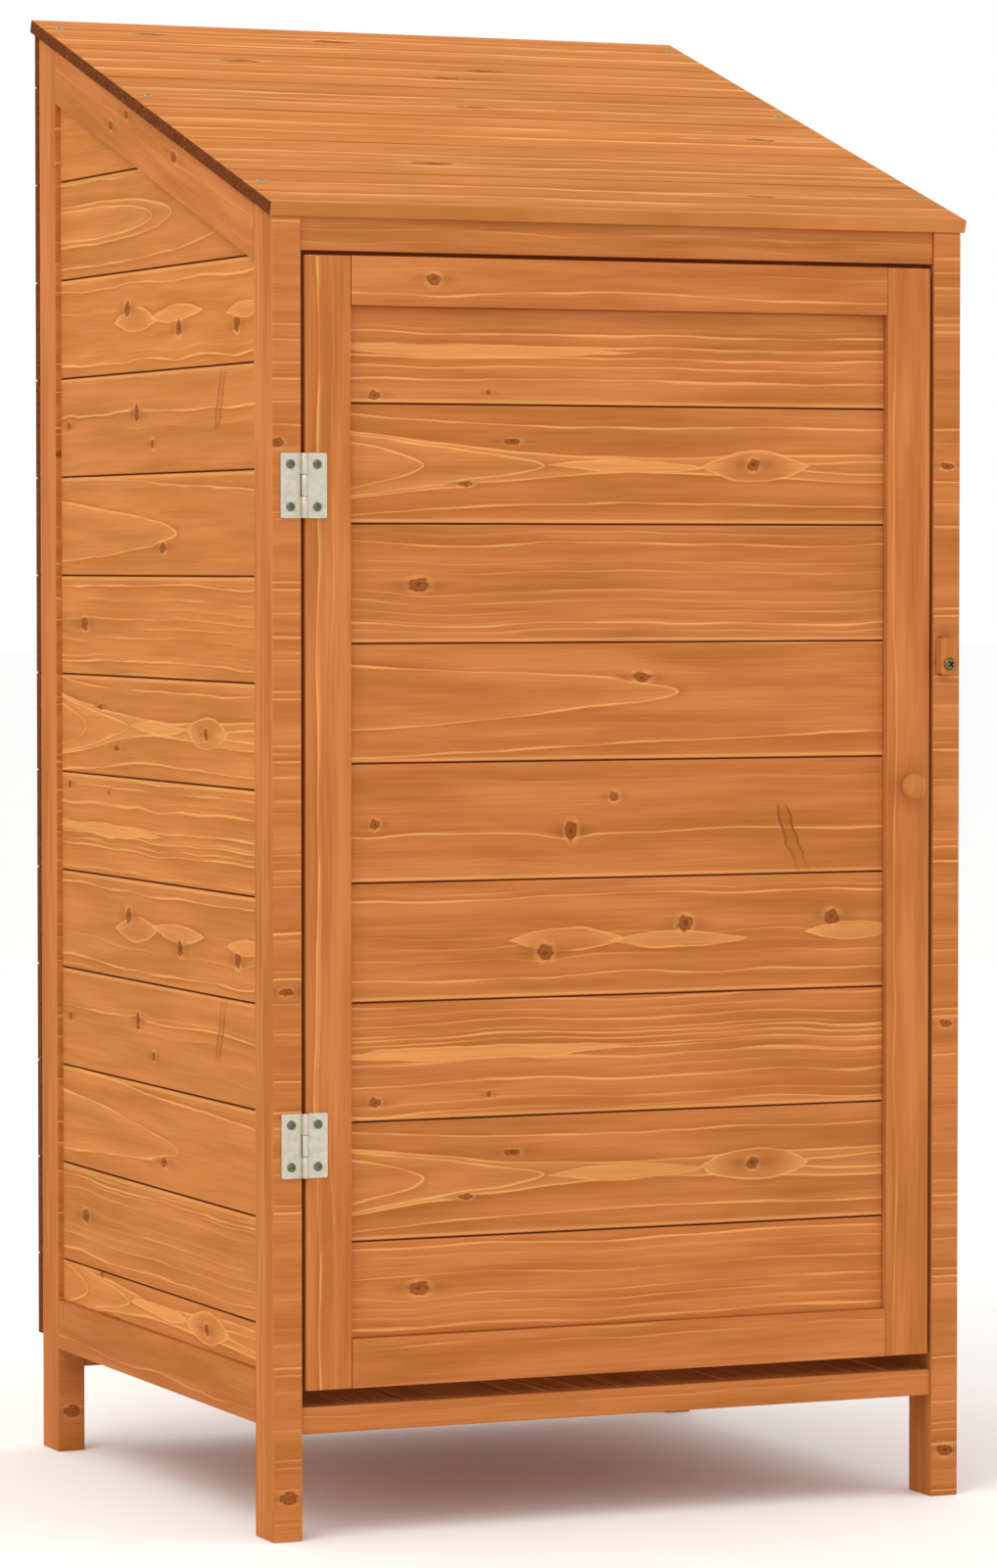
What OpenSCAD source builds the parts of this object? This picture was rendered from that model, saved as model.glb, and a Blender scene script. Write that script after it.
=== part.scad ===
// Narrow lean-to garden shed of stained fir.
// Four corner posts carry boarded walls, a floor and a sloped roof of boards.
// One framed door hangs on two butt hinges, and a wooden turn button keeps it shut.
// Millimetres, +Z up, +X to the right seen from the front, and the front faces -Y.
// The origin is on the ground, under the middle of the whole object.

/* [Overall] */
// Width across the outer faces of the corner posts
body_w = 545; // [420:1:900]
// Depth from the front of the front posts to the rear of the rear posts
body_d = 500; // [400:1:900]
// Height of the roof's top edge at the rear
rear_h = 1116; // [1000:1:1500]
// Height of the roof's top edge at the front
front_h = 945; // [850:1:990]

/* [Frame timber] */
// Width of a corner post, seen from the front
post_w = 22; // [20:1:40]
// Depth of a corner post, seen from the side
post_d = 36; // [30:1:60]
// Height of the bottom rails of the side walls
rail_h = 38; // [25:1:60]
// Height of the bottom rails' lower edge above the ground
rail_z = 80.5; // [60:0.5:100]
// Depth of the sloping top rails of the side walls, square to the slope
rafter_h = 40; // [25:1:60]
// Height of the lintel's front face, under the roof
lintel_h = 24.5; // [15:0.5:60]
// Thickness of the lintel, front to back
lintel_t = 22; // [15:1:36]
// Setback of the lintel and the sill from the front of the posts
setback = 2; // [0:0.5:6]

/* [Sill and floor] */
// Height of the sill's top edge, and of the floor, above the ground
floor_z = 94.5; // [84:0.5:110]
// Height of the sill, front and rear
sill_h = 19; // [16:1:30]
// Depth of the sill, front to back
sill_d = 34; // [28:1:60]
// Width of the sill's lip in front of the floor boards
sill_lip = 12; // [8:1:18]

/* [Boards] */
// Thickness of the wall, door and floor boards
board_t = 10; // [8:0.5:14]
// Thickness of the roof boards
roof_t = 10; // [8:0.5:16]
// Thickness of the back wall's boards
back_t = 11; // [8:0.5:16]
// Cover width of one side wall or back wall board
wall_pitch = 76; // [55:1:140]
// Height of the lowest side wall board that shows above the bottom rail
first_board = 32.5; // [20:0.5:55]
// Cover width of one door board
door_pitch = 85; // [55:1:140]
// Cover width of one roof board, before the boards are evened out
roof_pitch = 91; // [55:1:140]
// Cover width of one floor board, before the boards are evened out
floor_pitch = 84; // [55:1:140]
// Open width of the seam between two boards
seam = 1.2; // [0.6:0.1:2.5]
// Length of a board's tongue
tongue_l = 5; // [3:0.5:8]
// Thickness of a board's tongue
tongue_t = 3; // [2:0.5:4]
// Play of a tongue in its groove, on each side
tongue_play = 0.3; // [0.1:0.05:0.6]
// Setback of the side wall boards from the outer faces of the posts
wall_recess = 4.5; // [2:0.5:10]
// Height of the back wall's lower edge above the ground
back_z = 88; // [60:1:120]

/* [Roof overhang] */
// Overhang of the roof past the posts, left and right
eave_side = 2.5; // [0:0.5:60]
// Overhang of the roof's top edge past the front posts
eave_front = 5; // [0:0.5:60]
// Overhang of the roof's top edge past the back boards
eave_rear = 1; // [0:0.5:60]

/* [Door] */
// Thickness of the door frame
door_t = 20; // [18:1:32]
// Width of the door's stiles
stile_w = 35; // [25:1:70]
// Height of the door's top and bottom rails
door_rail_h = 35; // [25:1:80]
// Gap between the door and the posts and lintel
door_gap = 3; // [2:0.5:5]
// Gap between the door and the floor
door_floor_gap = 12; // [5:0.5:25]
// Setback of the door boards from the front of the door frame
door_recess = 6; // [2:0.5:8]

/* [Hinges] */
// Height of a hinge
hinge_h = 46; // [30:1:80]
// Width of one leaf, from the pin's axis
leaf_w = 17.5; // [12:0.5:20]
// Thickness of a leaf
leaf_t = 1.2; // [0.8:0.1:2]
// Diameter of a knuckle
knuckle_d = 4.8; // [4:0.1:6]
// Diameter of the hinge pin
hinge_pin_d = 2.4; // [1.8:0.1:2.8]
// Play of the pin in its knuckles, on the radius
pin_play = 0.05; // [0.02:0.01:0.1]
// Play between knuckles, and between a knuckle and the other leaf
knuckle_play = 0.3; // [0.2:0.05:0.6]
// Height of the lower hinge's middle above the ground
lower_hinge_z = 281; // [200:1:400]
// Height of the upper hinge's middle above the ground
upper_hinge_z = 747; // [550:1:780]
// Diameter of a screw hole in a leaf
screw_hole_d = 3.6; // [2.5:0.1:5]
// Distance of the screw holes from a leaf's ends
screw_hole_edge = 8; // [5:0.5:12]

/* [Turn button and knob] */
// Length of the turn button
button_l = 28; // [22:1:60]
// Width of the turn button
button_w = 14; // [10:1:16]
// Thickness of the turn button
button_t = 8; // [5:0.5:15]
// Rounding of the turn button's corners
button_r = 2; // [1:0.5:4]
// Distance from the turn button's lower end to its screw
button_heel = 8; // [6:0.5:10]
// Gap between the turn button and the faces behind it
button_gap = 0.5; // [0.3:0.1:1.5]
// Distance from the post's inner edge to the turn button's screw
button_inset = 9; // [8:0.5:14]
// Height of the turn button's screw above the ground
button_z = 618; // [560:1:720]
// Diameter of the turn button's screw
button_screw_d = 4; // [3:0.1:5]
// Diameter of that screw's round head
button_head_d = 9; // [7:0.5:12]
// Height of that screw's round head
button_head_h = 2.6; // [1.5:0.1:4]
// Length of that screw in the post
button_screw_l = 20; // [12:1:25]
// Diameter of the door knob
knob_d = 20; // [16:1:32]
// Distance that the knob stands out from the door
knob_l = 16; // [12:0.5:30]
// Diameter of the knob's neck
knob_neck_d = 10; // [8:0.5:15]
// Thickness of the knob's head at its rim
knob_rim = 8; // [5:0.5:10]
// Height of the knob's middle above the ground
knob_z = 528; // [480:1:560]

/* [Hidden] */
$fn = 48;
// Room for cutting tools to reach past the faces they cut
past = 20;

// Colours of the stained timber, the zinc-plated fittings and the screw
timber = "#c87a3c";
timber_light = "#d58a48";
zinc = "#c8c3b4";
screw_brown = "#8c6941";

// Roof plane, from the front top edge to the rear top edge
back_reach = body_d + back_t + eave_rear;
slope = atan((rear_h - front_h) / (eave_front + back_reach));
roof_l = (eave_front + back_reach) / cos(slope);
roof_w = body_w + 2 * eave_side;

// The front of the posts lies where the whole depth is centred on the origin
front_reach = max(knob_l, eave_front);
front_y = (front_reach - back_reach - roof_t * sin(slope)) / 2;
rear_y = front_y + body_d;

// Inside faces of the posts, and the walls between the posts
inner_x = body_w / 2 - post_w;
wall_y = front_y + post_d;
wall_d = body_d - 2 * post_d;
wall_x = body_w / 2 - wall_recess - board_t;
wall_z = rail_z + rail_h;

// Height of the roof's underside, and of the rafters' lower edge, at a depth y
function under_roof(y) =
    front_h + (y - front_y + eave_front) * tan(slope) - roof_t / cos(slope);
function under_rafter(y) = under_roof(y) - rafter_h / cos(slope);

// Door opening and door
lintel_z = under_roof(front_y + setback) - lintel_h;
door_x = inner_x - door_gap;
door_z = floor_z + door_floor_gap;
door_h = lintel_z - door_gap - door_z;
panel_w = 2 * (door_x - stile_w);
panel_h = door_h - 2 * door_rail_h;
panel_z = door_z + door_rail_h;

// Hinge pin's axis, in the middle of the gap beside the door
hinge_x = -inner_x + door_gap / 2;
hinge_y = front_y - knuckle_d / 2;

// Turn button's screw
button_x = inner_x + button_inset;
button_y = front_y - button_gap - button_t;

// Cross-section of one tongued and grooved board, w wide and t thick
module board_section(w, t, has_groove, has_tongue) {
    groove_t = tongue_t + 2 * tongue_play;
    difference() {
        union() {
            square([t, w]);
            if (has_tongue)
                translate([(t - tongue_t) / 2, 0])
                    square([tongue_t, w + tongue_l]);
        }
        if (has_groove)
            translate([(t - groove_t) / 2, -past])
                square([groove_t, past + tongue_l - seam + tongue_play]);
    }
}

// Boards l long in X, laid edge to edge up Z to the height h, t thick in Y.
// The lowest board ends at the height first, and each later one covers pitch.
module boarding(l, h, t, pitch, first) {
    count = 1 + ceil((h - first) / pitch - 0.01);
    for (i = [0 : count - 1]) {
        low = i == 0 ? 0 : first + (i - 1) * pitch + seam / 2;
        high = i == count - 1 ? h : first + i * pitch - seam / 2;
        translate([0, 0, low])
            rotate([90, 0, 90])
                linear_extrude(l)
                    board_section(high - low, t, i > 0, i < count - 1);
    }
}

// Boards of one even width that fill the height h
module even_boarding(l, h, t, pitch) {
    width = h / max(1, round(h / pitch));
    boarding(l, h, t, width, width);
}

// Cuts its children off at the underside of the roof
module below_roof() {
    low_y = front_y - past;
    high_y = rear_y + back_t + past;
    intersection() {
        children();
        translate([-roof_w / 2, 0, 0])
            rotate([90, 0, 90])
                linear_extrude(roof_w)
                    polygon([
                        [low_y, 0], [high_y, 0],
                        [high_y, under_roof(high_y)], [low_y, under_roof(low_y)]
                    ]);
    }
}

// Corner post with its front left corner at x and y, cut off under the roof
module post(x, y) {
    color(timber)
        below_roof()
            translate([x, y, 0])
                cube([post_w, post_d, rear_h]);
}

module front_left_post() {
    post(-body_w / 2, front_y);
}

module front_right_post() {
    color(timber)
        difference() {
            post(inner_x, front_y);
            translate([button_x, front_y - past, button_z])
                rotate([-90, 0, 0])
                    cylinder(h = past + button_screw_l, d = button_screw_d);
        }
}

module rear_left_post() {
    post(-body_w / 2, rear_y - post_d);
}

module rear_right_post() {
    post(inner_x, rear_y - post_d);
}

module lintel() {
    color(timber)
        below_roof()
            translate([-inner_x, front_y + setback, lintel_z])
                cube([2 * inner_x, lintel_t, rear_h - lintel_z]);
}

// Front sill with a rebate behind its lip, where the floor boards lie
module front_sill() {
    color(timber)
        translate([-inner_x, front_y + setback, floor_z - sill_h])
            difference() {
                cube([2 * inner_x, sill_d, sill_h]);
                translate([-past, sill_lip, sill_h - board_t])
                    cube([2 * inner_x + 2 * past, sill_d, board_t + past]);
            }
}

module rear_sill() {
    color(timber)
        translate([-inner_x, rear_y - sill_d, floor_z - board_t - sill_h])
            cube([2 * inner_x, sill_d, sill_h]);
}

// Bottom rail of a side wall, with its left face at x
module bottom_rail(x) {
    color(timber)
        translate([x, wall_y, rail_z])
            cube([post_w, wall_d, rail_h]);
}

module left_bottom_rail() {
    bottom_rail(-body_w / 2);
}

module right_bottom_rail() {
    bottom_rail(inner_x);
}

// Sloping top rail of a side wall, with its left face at x
module rafter(x) {
    far_y = wall_y + wall_d;
    color(timber)
        translate([x, 0, 0])
            rotate([90, 0, 90])
                linear_extrude(post_w)
                    polygon([
                        [wall_y, under_rafter(wall_y)], [far_y, under_rafter(far_y)],
                        [far_y, under_roof(far_y)], [wall_y, under_roof(wall_y)]
                    ]);
}

module left_rafter() {
    rafter(-body_w / 2);
}

module right_rafter() {
    rafter(inner_x);
}

// Boards of a side wall, with their left face at x, cut off along the rafter
module side_boards(x) {
    far_y = wall_y + wall_d;
    top_z = under_rafter(far_y);
    color(timber_light)
        translate([x, 0, 0])
            intersection() {
                translate([board_t, wall_y, wall_z])
                    rotate(90)
                        boarding(wall_d, top_z - wall_z, board_t, wall_pitch, first_board);
                rotate([90, 0, 90])
                    linear_extrude(board_t)
                        polygon([
                            [wall_y, wall_z], [far_y, wall_z],
                            [far_y, top_z], [wall_y, under_rafter(wall_y)]
                        ]);
            }
}

module left_wall_boards() {
    side_boards(-wall_x - board_t);
}

module right_wall_boards() {
    side_boards(wall_x);
}

// Boards of the back wall, whose seams are level with those of the side walls
module back_wall_boards() {
    color(timber_light)
        below_roof()
            translate([-body_w / 2, rear_y, back_z])
                boarding(body_w, under_roof(rear_y + back_t) - back_z, back_t,
                    wall_pitch, wall_z + first_board - back_z);
}

// Floor boards from the sill's lip to the back wall, laid side by side
module floor_boards() {
    lip_y = front_y + setback + sill_lip;
    color(timber_light)
        translate([-inner_x, lip_y, floor_z - board_t])
            rotate([90, 0, 90])
                even_boarding(rear_y - lip_y, 2 * inner_x, board_t, floor_pitch);
}

module roof_boards() {
    color(timber_light)
        translate([-roof_w / 2, front_y - eave_front, front_h])
            rotate([slope - 90, 0, 0])
                even_boarding(roof_w, roof_l, roof_t, roof_pitch);
}

// Upright of the door frame, with its left face at x
module stile(x) {
    color(timber)
        translate([x, front_y, door_z])
            cube([stile_w, door_t, door_h]);
}

module door_hinge_stile() {
    stile(-door_x);
}

module door_latch_stile() {
    stile(door_x - stile_w);
}

// Cross rail of the door frame, with its lower face at z
module door_rail(z) {
    color(timber)
        translate([-panel_w / 2, front_y, z])
            cube([panel_w, door_t, door_rail_h]);
}

module door_top_rail() {
    door_rail(panel_z + panel_h);
}

module door_bottom_rail() {
    door_rail(door_z);
}

// Boards of the door, spread evenly up and down from its middle
module door_boards() {
    count = max(2, ceil(panel_h / door_pitch));
    color(timber_light)
        translate([-panel_w / 2, front_y + door_recess, panel_z])
            boarding(panel_w, panel_h, board_t, door_pitch,
                (panel_h - (count - 2) * door_pitch) / 2);
}

// One leaf of a hinge with its middle at z, lying towards +X.
// Its knuckles are listed by place, of three up the pin.
module hinge_leaf(z, knuckles) {
    third = hinge_h / 3;
    clear_x = knuckle_d / 2 + knuckle_play;
    color(zinc)
        translate([0, hinge_y, z - hinge_h / 2])
            difference() {
                union() {
                    translate([clear_x, knuckle_d / 2 - leaf_t, 0])
                        cube([leaf_w - clear_x, leaf_t, hinge_h]);
                    for (i = knuckles)
                        translate([0, 0, i * third + knuckle_play / 2]) {
                            cylinder(h = third - knuckle_play, d = knuckle_d);
                            translate([0, knuckle_d / 2 - leaf_t, 0])
                                cube([leaf_w / 2, leaf_t, third - knuckle_play]);
                        }
                }
                translate([0, 0, -past])
                    cylinder(h = hinge_h + 2 * past, d = hinge_pin_d + 2 * pin_play);
                for (up = [screw_hole_edge, hinge_h - screw_hole_edge])
                    translate([(clear_x + leaf_w) / 2, 0, up])
                        rotate([-90, 0, 0])
                            cylinder(h = knuckle_d, d = screw_hole_d);
            }
}

module hinge_post_leaf(z) {
    translate([hinge_x, 0, 0])
        mirror([1, 0, 0])
            hinge_leaf(z, [0, 2]);
}

module hinge_door_leaf(z) {
    translate([hinge_x, 0, 0])
        hinge_leaf(z, [1]);
}

module hinge_pin(z) {
    color(zinc)
        translate([hinge_x, hinge_y, z - hinge_h / 2])
            cylinder(h = hinge_h, d = hinge_pin_d);
}

module upper_hinge_post_leaf() {
    hinge_post_leaf(upper_hinge_z);
}

module upper_hinge_door_leaf() {
    hinge_door_leaf(upper_hinge_z);
}

module upper_hinge_pin() {
    hinge_pin(upper_hinge_z);
}

module lower_hinge_post_leaf() {
    hinge_post_leaf(lower_hinge_z);
}

module lower_hinge_door_leaf() {
    hinge_door_leaf(lower_hinge_z);
}

module lower_hinge_pin() {
    hinge_pin(lower_hinge_z);
}

// Outline with round corners, a wide and b high, from its lower left corner
module round_rectangle(a, b, r) {
    translate([r, 0])
        square([a - 2 * r, b]);
    translate([0, r])
        square([a, b - 2 * r]);
    for (x = [r, a - r], y = [r, b - r])
        translate([x, y])
            circle(r);
}

// Turn button, upright on the post, where it leaves the door free
module turn_button() {
    color(timber)
        translate([button_x, front_y - button_gap, button_z])
            rotate([90, 0, 0])
                difference() {
                    linear_extrude(button_t)
                        translate([-button_w / 2, -button_heel])
                            round_rectangle(button_w, button_l, button_r);
                    translate([0, 0, -past])
                        cylinder(h = button_t + 2 * past, d = button_screw_d + 2 * pin_play);
                }
}

// Round-headed screw that the turn button turns on
module turn_button_screw() {
    head_y = button_y - pin_play;
    dome_r = (button_head_d * button_head_d / 4 + button_head_h * button_head_h) / (2 * button_head_h);
    color(screw_brown)
        translate([button_x, head_y, button_z])
            rotate([90, 0, 0]) {
                intersection() {
                    translate([0, 0, button_head_h - dome_r])
                        sphere(dome_r);
                    cylinder(h = button_head_h, d = button_head_d);
                }
                shank_l = front_y - head_y + button_screw_l;
                translate([0, 0, -shank_l])
                    cylinder(h = shank_l, d = button_screw_d);
            }
}

// Turned knob: a neck that stands on the door, and a head with a round rim
module door_knob() {
    rim_r = knob_rim / 2;
    color(timber)
        translate([door_x - stile_w / 2, front_y, knob_z])
            rotate([90, 0, 0])
                rotate_extrude() {
                    square([knob_neck_d / 2, knob_l - rim_r]);
                    translate([0, knob_l - knob_rim])
                        square([knob_d / 2 - rim_r, knob_rim]);
                    translate([knob_d / 2 - rim_r, knob_l - rim_r])
                        circle(rim_r);
                }
}

front_left_post();
front_right_post();
rear_left_post();
rear_right_post();
lintel();
front_sill();
rear_sill();
left_bottom_rail();
right_bottom_rail();
left_rafter();
right_rafter();
left_wall_boards();
right_wall_boards();
back_wall_boards();
floor_boards();
roof_boards();
door_hinge_stile();
door_latch_stile();
door_top_rail();
door_bottom_rail();
door_boards();
upper_hinge_post_leaf();
upper_hinge_door_leaf();
upper_hinge_pin();
lower_hinge_post_leaf();
lower_hinge_door_leaf();
lower_hinge_pin();
turn_button();
turn_button_screw();
door_knob();
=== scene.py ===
"""Looks of a small wooden garden shed: its frame, boards, door, hinges and fittings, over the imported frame."""

import math
from functools import partial

import bmesh
import bpy
from bpy.props import FloatProperty, FloatVectorProperty, PointerProperty
from mathutils import Matrix, Vector


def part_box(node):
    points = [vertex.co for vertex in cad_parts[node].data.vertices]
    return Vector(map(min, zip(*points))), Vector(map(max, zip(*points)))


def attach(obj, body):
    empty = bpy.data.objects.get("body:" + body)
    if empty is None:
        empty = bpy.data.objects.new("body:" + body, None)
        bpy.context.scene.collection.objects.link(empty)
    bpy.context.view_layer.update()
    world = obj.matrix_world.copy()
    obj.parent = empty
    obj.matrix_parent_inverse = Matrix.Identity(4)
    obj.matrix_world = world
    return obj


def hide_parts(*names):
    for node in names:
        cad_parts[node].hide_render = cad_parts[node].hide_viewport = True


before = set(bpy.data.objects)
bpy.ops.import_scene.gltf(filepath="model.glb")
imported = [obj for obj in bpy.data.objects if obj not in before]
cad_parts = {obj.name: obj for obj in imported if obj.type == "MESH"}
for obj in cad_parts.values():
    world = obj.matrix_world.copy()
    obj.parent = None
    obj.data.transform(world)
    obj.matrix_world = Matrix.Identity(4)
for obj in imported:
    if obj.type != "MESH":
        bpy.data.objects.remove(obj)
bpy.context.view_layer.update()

bl_info = {
    "name": "Garden shed",
    "version": (1, 0, 0),
    "blender": (4, 5, 0),
    "location": "3D View > Sidebar > Shed",
    "description": "Builds the frame, boards, door, hinges and fittings of a small wooden garden shed",
    "category": "Add Mesh",
}

X, Y, Z = Vector((1, 0, 0)), Vector((0, 1, 0)), Vector((0, 0, 1))
MIDDLE = Vector((0, 0, 0.55))
MM = 1000  # millimetres in a metre

# How squarely a face looks along a direction to be an end or a front, and to be a board's free edge.
SQUARE, FREE = 0.8, 0.9
SHARP = 0.2  # angle in radians from which an edge counts as one
LEAST_BOARD = 0.004  # no seam is this close to the end of a field of boards
TONGUE_PLAY = 0.0003  # room round a tongue in its groove
WALL_ROWS = 20  # more boards than the tallest wall has
WALL_PALE = 0.15  # how much of the pale wood the wall and roof boards have
BAR_END, BOARD_END = 0.9, 0.95  # how much of the end grain's colour a sawn end has
EASED = 0.001  # depth to which a board's edge is eased
SIDE_SEED, BOARD_SEED = 0.37, 0.173  # what sets apart the grain of a bar's sides, and of neighbouring boards

# Fittings.
LEAF_CORNER, LEAF_EDGE, TAB_EDGE = 0.0012, 0.00018, 0.00015
KNUCKLE_GAP, KNUCKLE_RIM = 0.00015, 0.0003
LEAF_SCREW = 0.008  # from a hinge screw to the end of its leaf
HINGE_SCREW_RISE, ROOF_SCREW_RISE = 0.0011, 0.0009
ROOF_SCREWS = (0.105, 0.558, 0.947)  # shares of the roof's length
BUTTON_CORNER, BUTTON_EDGE = 0.002, 0.0006
SHANK_RADIUS, SHANK_TOP = 0.002, 0.001

# How the grain is drawn: how far rings, lenses and branches waver, how far the rings sway, how fast they shift
# below the surface, the least slope of their squared distance, and how far the other rings keep from the heart.
RING_WOBBLE, EYE_WOBBLE, SPIKE_WOBBLE = 3.6, 9, 12
SWAY, DEPTH_PULL, LEAST_SLOPE, HEART_ROUND = 4, 14, 3.0, 150

# A ring, an edge, and a knot or lens that isn't there.
NO_RING, NO_EDGE, NOWHERE = -1000, -1000, (-9999, 0, 1, 1)

# Layers that carry a board's figure to its material, as numbers and as places.
NUMBER_LAYERS = ("heart", "climb", "bold", "rings", "more", "board", "cut", "knot_long", "eye_tall")
KNOT_LAYERS = ("knot_a", "knot_b", "knot_c")
EYE_LAYERS = ("eye_a", "eye_b", "eye_c")
FACE_LAYERS = (*NUMBER_LAYERS, "spike", *KNOT_LAYERS, *EYE_LAYERS)

# Growth figures of the boards, in millimetres on the board: along from its left end, across from its middle.
# heart is where the middle of the rings lies: across at the left end, its drift along, and its sway.
# climb gives how the rings leave the surface along the board, as a cubic that adds to the squared distance.
# bold lists the rings that stand out, by their distance from the heart at the left end. The wood inside the
# first of them is paler by glow. rings is the spacing of the other rings, how clearly they show, and the share
# of them that does. A knot is a place, a width and how much longer it is along the grain than across. An eye is
# a pale lens of rings round a knot: its middle, half its length and half its height. A spike is a branch cut
# lengthwise: the place of its tip, and its width. broad is how many times wider the ring lines are drawn.
STRAIGHT = (-400, 0, 3)
FIGURES = {
    "straight": dict(
        heart=STRAIGHT, bold=(408, 400, 417, 384), rings=(7, 0.8, 0.8),
        knots=[(20, -29, 6.5, 1.3), (108, -26, 4, 1)], eyes=[(100, 4, 125, 5)]),
    "flame": dict(
        heart=(0, 0, 1.5), climb=(5.88, -0.0196, 1.984e-5), bold=(24.3, 16.7, 22.6, 36.4), glow=0.5,
        rings=(14, 0.15, 0.4), knots=[(318, 1, 8, 1.2), (90, -14, 4, 2.5), (127, 16.6, 4, 3)],
        eyes=[(320, 0, 44, 12), (217, -1, 64, 5)]),
    "plain_knot": dict(heart=STRAIGHT, bold=(429, 372), rings=(7, 0.55, 0.8), knots=[(54, -1, 9, 1.7)]),
    "arch": dict(
        heart=(4, 0.012, 1), climb=(2.5, -0.0014, 0), bold=(23.5, 43.6), glow=0.2, rings=(17, 0.12, 0.5),
        knots=[(229, 17, 7, 1.9)]),
    "bow": dict(heart=(-2, 0, 1), climb=(0, 0, 1.76e-5), bold=(16.4, 12.5, 33), glow=0.3, rings=(14, 0.25, 0.5)),
    "small_knots": dict(
        heart=STRAIGHT, bold=(391,), rings=(12, 0.25, 0.5),
        knots=[(20, -1, 7, 1), (173, -8, 12, 0.75), (207, 16, 7, 1)], spike=(341, 10, 11)),
    "eyes": dict(
        heart=STRAIGHT, bold=(373, 430), rings=(8, 0.4, 0.6),
        knots=[(152, -10, 11, 1.1), (264, 8, 11, 1.1), (383, 10, 10, 1.1)],
        eyes=[(170, -1, 47, 10), (258, -3, 57, 7), (400, 0, 40, 7)]),
    "plain": dict(heart=STRAIGHT, rings=(13, 0.3, 0.6), knots=[(300, 8, 6, 1.2)]),
    "roof": dict(heart=STRAIGHT, bold=(413, 384), rings=(17, 0.5, 0.7), broad=3),
    "bar": dict(heart=STRAIGHT, rings=(9, 0.55, 0.5)),
    "hinge_stile": dict(heart=STRAIGHT, bold=(409,), rings=(9, 0.4, 0.4)),
    "rafter": dict(
        heart=STRAIGHT, rings=(13, 0.4, 0.6), knots=[(320, 4, 6, 1.5), (180, -8, 7, 2), (290, -12, 6, 1.5)]),
    "top_rail": dict(heart=STRAIGHT, bold=(392,), rings=(8, 0.35, 0.6), knots=[(63, 2, 8, 1.3)]),
    "left_bands": dict(
        heart=(-900, 0, 0.5), rings=(5.5, 1, 0.4),
        knots=[(4, 777, 6, 1.6), (10, 390, 5, 2), (12, 31, 8, 1.6)]),
    "right_bands": dict(
        heart=(-900, 0, 0.5), rings=(5.5, 1, 0.4),
        knots=[(11, 764, 5, 2), (11, 352, 6, 1.6), (11, 34, 8, 1.6)]),
}
OTHER_WALLS = ("straight", "flame", "plain_knot", "arch", "small_knots", "eyes")
LEFT_WALL = ("plain", "bow", *reversed(OTHER_WALLS), *reversed(OTHER_WALLS[1:]))
DOOR = (*OTHER_WALLS, *OTHER_WALLS[:3])
FLOOR = ("roof", "plain_knot", "straight")
ROOF_KNOTS = (
    [(405, 8, 6, 4)], [(173, -12, 7, 5)], [(485, 1, 7, 4)], [(276, -15, 7, 4)],
    [(133, 22, 7, 5), (292, -12, 6, 3), (335, 16, 6, 5)], [(87, 11, 6, 5), (238, 8, 7, 5)],
)
ROOF_EYE = (75, 4)  # half the length and height of the lens round a roof board's first knot


def linear(code):
    """Linear red, green and blue of an sRGB colour such as 0xC6763A."""
    channels = ((code >> shift & 255) / 255 for shift in (16, 8, 0))
    return tuple(c / 12.92 if c <= 0.04045 else ((c + 0.055) / 1.055) ** 2.4 for c in channels)


def length(name, description, default):
    """A size in metres that a user can change."""
    return FloatProperty(name=name, description=description, default=default, unit="LENGTH")


def tone(name, description, code):
    """A colour that a user can change, by its sRGB code."""
    return FloatVectorProperty(name=name, description=description, default=linear(code), subtype="COLOR")


class ShedTimber(bpy.types.PropertyGroup):
    """Sizes of the boards and the colours of their stain."""

    wall_pitch: length("Wall board", "Height that one wall board covers", 0.076)
    wall_first: length("First wall board", "Height of the lowest wall board", 0.0325)
    door_pitch: length("Door board", "Height that one door board covers", 0.085)
    roof_pitch: length("Roof board", "Width that one roof board covers", 0.091)
    floor_pitch: length("Floor board", "Width that one floor board covers", 0.084)
    seam: length("Seam", "Gap that shows between two boards", 0.0012)
    tongue: length("Tongue", "Length of a board's tongue", 0.005)
    tongue_thick: length("Tongue thickness", "Thickness of a board's tongue", 0.003)
    arris: length("Arris", "Width that edges of boards and bars are eased by", 0.0009)
    stain: tone("Stain", "Colour of the stained wood", 0xC27843)
    stain_deep: tone("Deep stain", "Where the wood took more stain", 0xAE6733)
    late_wood: tone("Ring line", "Pale hard wood of a year's ring", 0xEDAC68)
    early_wood: tone("Ring edge", "Dark soft wood by a ring line", 0xA4571E)
    glow: tone("Glow", "Paler wood inside a bold ring", 0xE49E5C)
    pale: tone("Pale wood", "Yellower wood of walls and roof", 0xE49C48)
    knot: tone("Knot", "Colour of a knot's middle", 0x642B0A)
    end_grain: tone("End grain", "Sawn end, which drinks most stain", 0x5E2C0F)


class ShedFittings(bpy.types.PropertyGroup):
    """Sizes and colours of the metal fittings."""

    zinc: tone("Zinc", "Colour of the zinc plating", 0xD2CCBC)
    screw: tone("Screw", "Greenish plating of the screws", 0x6E735F)
    brown_screw: tone("Button screw", "Plating of the button's screw", 0x7D6A48)
    roof_screw: tone("Roof screw", "Yellowish plating of roof screws", 0xB5A884)
    screw_head: length("Screw head", "Diameter of a hinge screw's head", 0.0066)
    roof_screw_head: length("Roof screw head", "Diameter of a roof screw's head", 0.0075)


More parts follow.
